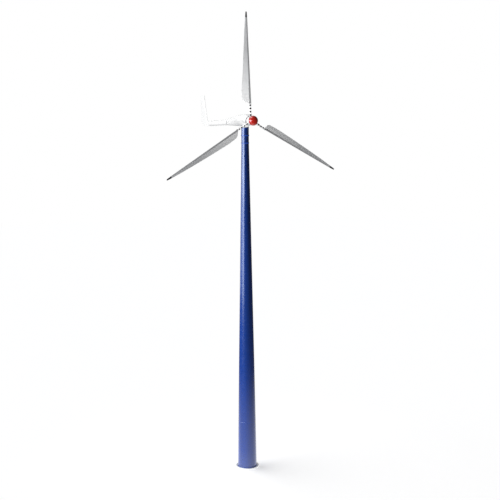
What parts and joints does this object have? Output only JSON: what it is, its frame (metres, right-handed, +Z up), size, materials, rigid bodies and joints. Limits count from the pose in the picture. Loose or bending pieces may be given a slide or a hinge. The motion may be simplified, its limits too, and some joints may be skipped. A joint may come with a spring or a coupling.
{
  "type": "small wind turbine",
  "caption": "Upwind horizontal-axis wind turbine on a tapered tube tower, with a teardrop nacelle, spinner, bladed rotor and a tail boom with an upright fin that furls.",
  "frame": {"origin": "centre of the base flange's underside, on the foundation", "axes": "+Z up along the tower and yaw axis, -Y the way the rotor faces, +Y towards the tail fin, +X to the right seen from the front"},
  "size_m": [4.3422, 3.2016, 11.0914],
  "materials": {
    "tower_paint": "glossy deep blue coating",
    "galvanised_steel": "light galvanised",
    "white_gloss_shell": "white gelcoat",
    "white_painted_metal": "white powder coat",
    "silver_arm_steel": "satin silver",
    "black_fastener": "black capped bolt heads",
    "zinc_fastener": "zinc plated",
    "bearing_steel": "ground steel",
    "cast_aluminium": "as cast",
    "electrical_steel": "laminated",
    "copper": "enamelled copper",
    "magnet_nickel": "nickel plated",
    "insulating_plastic": "moulded",
    "carbon_brush": "sintered carbon",
    "black_rubber": "moulded rubber",
    "red_gloss_shell": "red gelcoat",
    "blade_grey": "light grey satin laminate",
    "blade_strip_grey": "dark grey leading edge",
    "blade_tip_black": "black tip coat"
  },
  "bodies": {
    "tower": {"base_flange": "galvanised_steel", "tower_base_section": "tower_paint", "tower_main_section": "tower_paint", "tower_neck_section": "tower_paint", "joint_collars": "tower_paint", "tower_top_plate": "galvanised_steel", "earth_terminal": "zinc_fastener", "door_frame": "tower_paint", "door_hinge_pins": "zinc_fastener", "yaw_spindle": "galvanised_steel", "spindle_bolts": "zinc_fastener", "yaw_bearing_cores": "bearing_steel", "spindle_lock_nut": "zinc_fastener", "slip_ring_core": "insulating_plastic", "slip_rings": "copper"},
    "door": {"access_door": "tower_paint"},
    "lock": {"door_lock": "zinc_fastener"},
    "nacelle": {"yaw_bearing_outers": "bearing_steel", "yaw_seal": "black_rubber", "main_frame": "cast_aluminium", "brush_holder": "insulating_plastic", "brushes": "carbon_brush", "generator_housing": "cast_aluminium", "front_end_bell": "cast_aluminium", "rear_end_bell": "cast_aluminium", "stator_core": "electrical_steel", "stator_windings": "copper", "generator_bolts": "zinc_fastener", "shaft_bearing_outers": "bearing_steel", "rear_spine": "galvanised_steel", "nacelle_cover_upper": "white_gloss_shell", "nacelle_cover_lower": "white_gloss_shell", "cover_screws": "zinc_fastener", "rear_bulkhead": "white_painted_metal", "tail_stop": "black_rubber", "tail_hinge_pin": "zinc_fastener"},
    "rotor": {"main_shaft": "bearing_steel", "shaft_bearing_cores": "bearing_steel", "magnet_drum": "electrical_steel", "magnets": "magnet_nickel", "hub_body": "white_painted_metal", "hub_nut": "zinc_fastener", "spinner": "red_gloss_shell", "spinner_back_plate": "insulating_plastic", "spinner_screws": "zinc_fastener", "blade_arms": "silver_arm_steel", "blade_bolts": "black_fastener", "blade_1_spar": "blade_strip_grey", "blade_1_panel": "blade_grey", "blade_2_spar": "blade_strip_grey", "blade_2_panel": "blade_grey", "blade_3_spar": "blade_strip_grey", "blade_3_panel": "blade_grey", "blade_tips": "blade_tip_black"},
    "tail": {"boom_root": "white_painted_metal", "boom_fairing": "white_gloss_shell", "tail_boom": "white_painted_metal", "boom_end_cap": "white_painted_metal", "tail_fin": "white_gloss_shell", "fin_bolts": "zinc_fastener"}
  },
  "joints": [
    {"name": "yaw", "type": "hinge", "parent": "tower", "child": "nacelle", "pos_m": [0, 0, 8.457], "axis": [0, 0, 1], "continuous": true},
    {"name": "rotor_spin", "type": "hinge", "parent": "nacelle", "child": "rotor", "pos_m": [0, -0.33, 8.6], "axis": [0, 0.9965, -0.0837], "continuous": true},
    {"name": "tail_furl", "type": "hinge", "parent": "nacelle", "child": "tail", "pos_m": [-0.104, 0.86579, 8.49959], "axis": [0.2079, 0.0818, 0.9747], "range_deg": [0, 70]},
    {"name": "access_door", "type": "hinge", "parent": "tower", "child": "door", "pos_m": [-0.118, 0.2406, 0.8], "axis": [0, 0, 1], "range_deg": [0, 110]},
    {"name": "door_lock", "type": "hinge", "parent": "door", "child": "lock", "pos_m": [0.06, 0.2386, 0.8], "axis": [0, -1, 0], "range_deg": [0, 90]}
  ]
}
